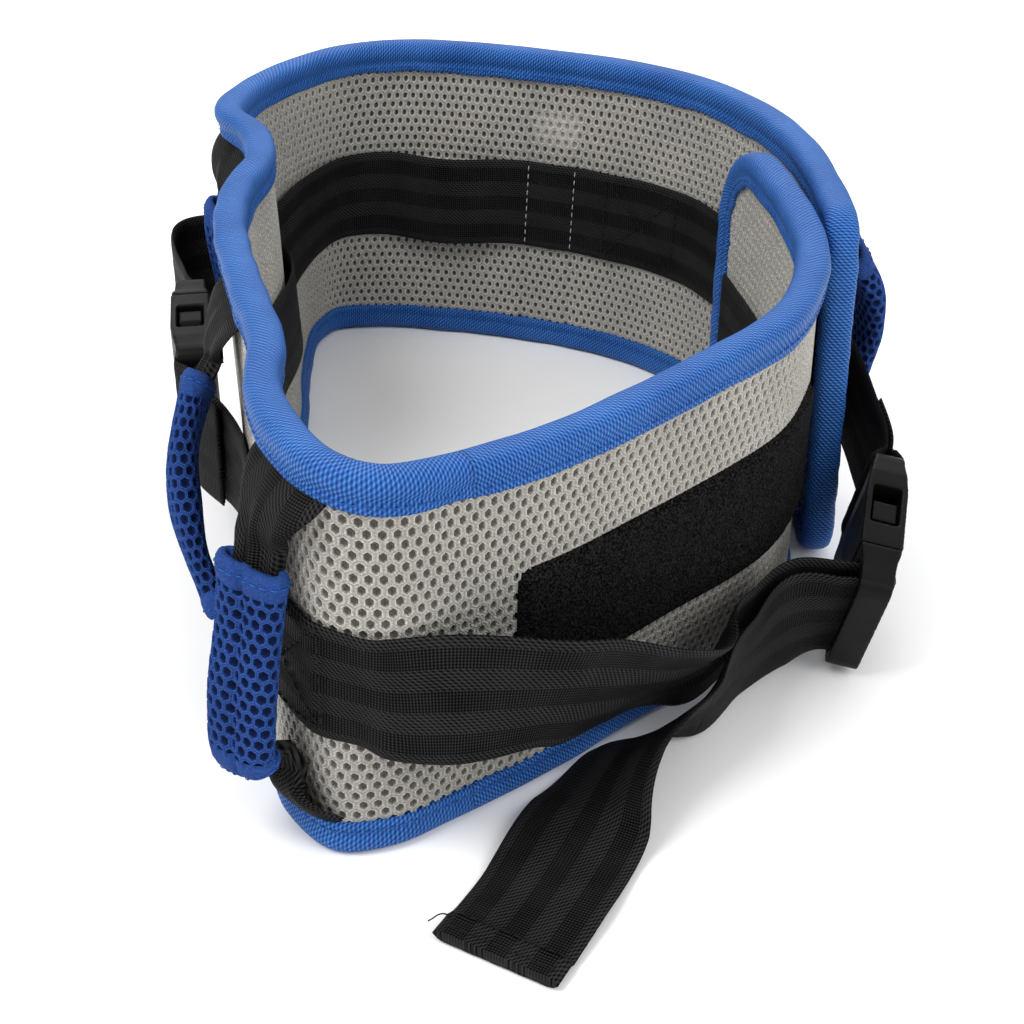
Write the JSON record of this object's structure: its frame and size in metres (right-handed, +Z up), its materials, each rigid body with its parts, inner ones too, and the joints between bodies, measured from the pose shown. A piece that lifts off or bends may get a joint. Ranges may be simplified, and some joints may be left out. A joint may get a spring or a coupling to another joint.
{
  "type": "gait belt",
  "caption": "Padded waist belt with vertical grab handles, side-release buckles and an overlapping hook-and-loop front, standing closed as a ring.",
  "frame": {"origin": "middle of the bounding box, on the surface the belt stands on", "axes": "+Z up, -Y the front with the hanging strap tail, +X to the right of someone facing the front"},
  "size_m": [0.262, 0.3956, 0.13],
  "materials": {
    "spacer_mesh": "warm grey knitted spacer mesh with oval holes",
    "foam": "closed-cell foam sheet",
    "binding": "blue woven twill edge tape",
    "sleeve_mesh": "royal blue open air mesh",
    "webbing": "black polyester webbing with lengthwise ribs",
    "hook_and_loop": "black brushed hook-and-loop tape",
    "buckle_plastic": "black moulded acetal, lightly textured"
  },
  "bodies": {
    "belt": {"belt_outer_mesh": "spacer_mesh", "belt_foam_core": "foam", "belt_inner_mesh": "spacer_mesh", "belt_upper_binding": "binding", "belt_lower_binding": "binding", "outer_flap_end_binding": "binding", "inner_waist_band": "webbing", "loop_patch": "hook_and_loop", "hook_patch": "hook_and_loop", "right_buckle_female": "buckle_plastic", "left_buckle_female": "buckle_plastic", "front_left_handle_upper_tab": "webbing", "front_left_handle_lower_tab": "webbing", "left_handle_upper_tab": "webbing", "left_handle_lower_tab": "webbing", "back_left_handle_upper_tab": "webbing", "back_left_handle_lower_tab": "webbing", "back_handle_upper_tab": "webbing", "back_handle_lower_tab": "webbing", "right_handle_upper_tab": "webbing", "right_handle_lower_tab": "webbing", "front_waist_strap": "webbing", "front_strap_return": "webbing", "right_waist_webbing": "webbing", "left_waist_webbing": "webbing", "left_rear_strap": "webbing"},
    "inner_end": {"inner_end_outer_mesh": "spacer_mesh", "inner_end_foam_core": "foam", "inner_end_inner_mesh": "spacer_mesh", "inner_end_upper_binding": "binding", "inner_end_lower_binding": "binding", "inner_end_tip_binding": "binding", "inner_end_band": "webbing"},
    "front_left_handle": {"front_left_handle_webbing": "webbing", "front_left_handle_sleeve": "sleeve_mesh"},
    "left_handle": {"left_handle_webbing": "webbing", "left_handle_sleeve": "sleeve_mesh"},
    "back_left_handle": {"back_left_handle_webbing": "webbing", "back_left_handle_sleeve": "sleeve_mesh"},
    "back_handle": {"back_handle_webbing": "webbing", "back_handle_sleeve": "sleeve_mesh"},
    "right_handle": {"right_handle_webbing": "webbing", "right_handle_sleeve": "sleeve_mesh"},
    "right_male": {"right_buckle_male": "buckle_plastic"},
    "left_male": {"left_buckle_male": "buckle_plastic", "left_rear_strap_leg": "webbing"},
    "right_upper_prong": {"right_buckle_upper_prong": "buckle_plastic"},
    "right_lower_prong": {"right_buckle_lower_prong": "buckle_plastic"},
    "left_upper_prong": {"left_buckle_upper_prong": "buckle_plastic"},
    "left_lower_prong": {"left_buckle_lower_prong": "buckle_plastic"},
    "tail": {"strap_tail": "webbing"}
  },
  "joints": [
    {"name": "inner_end_fold", "type": "hinge", "parent": "belt", "child": "inner_end", "pos_m": [0.0786, -0.03331, 0.065], "axis": [0.0308, -0.0462, 0.9985], "range_deg": [0, 45]},
    {"name": "front_left_handle_swing", "type": "hinge", "parent": "belt", "child": "front_left_handle", "pos_m": [-0.06715, -0.13901, 0.065], "axis": [0.0051, 0.0359, 0.9993], "range_deg": [-20, 20]},
    {"name": "left_handle_swing", "type": "hinge", "parent": "belt", "child": "left_handle", "pos_m": [-0.08986, -0.05638, 0.065], "axis": [-0.0872, 0.502, 0.8605], "range_deg": [-20, 20]},
    {"name": "back_left_handle_swing", "type": "hinge", "parent": "belt", "child": "back_left_handle", "pos_m": [-0.10381, 0.09502, 0.065], "axis": [-0.0833, -0.1003, 0.9915], "range_deg": [-3, 8]},
    {"name": "back_handle_swing", "type": "hinge", "parent": "belt", "child": "back_handle", "pos_m": [0.01789, 0.17735, 0.065], "axis": [0.0459, -0.0831, 0.9955], "range_deg": [-20, 20]},
    {"name": "right_handle_swing", "type": "hinge", "parent": "belt", "child": "right_handle", "pos_m": [0.11157, 0.06044, 0.065], "axis": [0.0074, -0.1653, 0.9862], "range_deg": [-20, 20]},
    {"name": "right_buckle_release", "type": "slide", "parent": "belt", "child": "right_male", "axis": [-0.208, -0.9392, -0.2731], "range_m": [0, 0.02], "deforming": ["right_buckle_upper_prong", "right_buckle_lower_prong"]},
    {"name": "right_upper_prong_squeeze", "type": "hinge", "parent": "right_male", "child": "right_upper_prong", "pos_m": [0.11055, -0.05884, 0.03993], "axis": [-0.9702, 0.1628, 0.1793], "range_deg": [0, 8], "stiffness_Nm_per_rad": 0.3},
    {"name": "right_lower_prong_squeeze", "type": "hinge", "parent": "right_male", "child": "right_lower_prong", "pos_m": [0.10733, -0.05098, 0.01535], "axis": [0.9702, -0.1628, -0.1793], "range_deg": [0, 8], "stiffness_Nm_per_rad": 0.3},
    {"name": "left_buckle_release", "type": "slide", "parent": "belt", "child": "left_male", "axis": [-0.15, 0.9887, 0], "range_m": [0, 0.02], "deforming": ["left_buckle_upper_prong", "left_buckle_lower_prong"]},
    {"name": "left_upper_prong_squeeze", "type": "hinge", "parent": "left_male", "child": "left_upper_prong", "pos_m": [-0.11364, 0.0424, 0.074], "axis": [0.9887, 0.15, 0], "range_deg": [0, 8], "stiffness_Nm_per_rad": 0.3},
    {"name": "left_lower_prong_squeeze", "type": "hinge", "parent": "left_male", "child": "left_lower_prong", "pos_m": [-0.11364, 0.0424, 0.048], "axis": [-0.9887, -0.15, 0], "range_deg": [0, 8], "stiffness_Nm_per_rad": 0.3},
    {"name": "tail_swing", "type": "hinge", "parent": "belt", "child": "tail", "pos_m": [0.05559, -0.10243, 0.02], "axis": [0, 0, 1], "range_deg": [-4, 25]}
  ],
  "couplings": [
    {"joint": "right_lower_prong_squeeze", "follows": "right_upper_prong_squeeze", "ratio": 1},
    {"joint": "left_lower_prong_squeeze", "follows": "left_upper_prong_squeeze", "ratio": 1}
  ]
}
